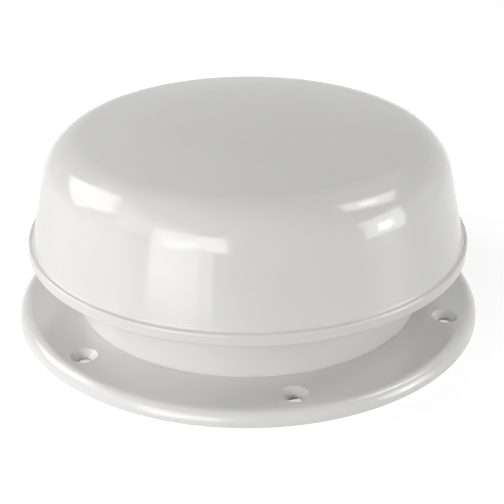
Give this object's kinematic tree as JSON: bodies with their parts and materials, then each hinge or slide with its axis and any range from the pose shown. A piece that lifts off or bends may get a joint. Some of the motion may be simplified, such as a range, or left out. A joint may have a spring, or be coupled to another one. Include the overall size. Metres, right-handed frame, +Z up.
{
  "type": "mushroom roof vent",
  "caption": "Low domed roof vent: screw-down round flange, raised collar and a cap that a spindle and inside knob lift off its seal, with an insect screen.",
  "frame": {"origin": "on the vent's vertical axis, at the roof surface that the flange lies on", "axes": "+Z up out of the roof, along the spindle; +Y away from the picture's camera; +X to its right"},
  "size_m": [0.2, 0.2, 0.0851],
  "materials": {
    "cap_plastic": "glossy off-white moulding",
    "flange_plastic": "glossy off-white moulding",
    "bridge_nylon": "satin moulded nylon",
    "carrier_nylon": "satin moulded nylon",
    "bush_acetal": "smooth acetal",
    "screen_plastic": "satin moulding",
    "screen_net": "coated woven fibre",
    "knob_plastic": "satin moulding",
    "knob_cap_plastic": "satin moulding",
    "foam_rubber": "closed-cell foam",
    "seal_rubber": "matte",
    "insert_brass": "turned",
    "spindle_steel": "turned",
    "washer_steel": "stamped",
    "screw_steel": "bright"
  },
  "bodies": {
    "base": {"base": "flange_plastic", "flange_gasket": "foam_rubber", "bridge": "bridge_nylon", "bridge_screws": "screw_steel", "spindle_bush": "bush_acetal", "screen_frame": "screen_plastic", "insect_screen": "screen_net", "screen_screws": "screw_steel"},
    "cap": {"cap": "cap_plastic", "cap_carrier": "carrier_nylon", "carrier_screws": "screw_steel", "cap_seal": "seal_rubber", "thread_insert": "insert_brass"},
    "spindle": {"spindle": "spindle_steel", "thrust_washer": "washer_steel", "wave_washer": "washer_steel", "retaining_ring": "washer_steel", "knob": "knob_plastic", "knob_bush": "insert_brass", "knob_washer": "washer_steel", "knob_screw": "screw_steel", "knob_cap": "knob_cap_plastic"}
  },
  "joints": [
    {"name": "knob_turn", "type": "hinge", "parent": "base", "child": "spindle", "pos_m": [0, 0, 0.042], "axis": [0, 0, -1], "range_deg": [0, 1440]},
    {"name": "cap_lift", "type": "slide", "parent": "base", "child": "cap", "axis": [0, 0, 1], "range_m": [0, 0.02]}
  ],
  "couplings": [
    {"joint": "knob_turn", "follows": "cap_lift", "rad_per_m": 1256.6}
  ]
}
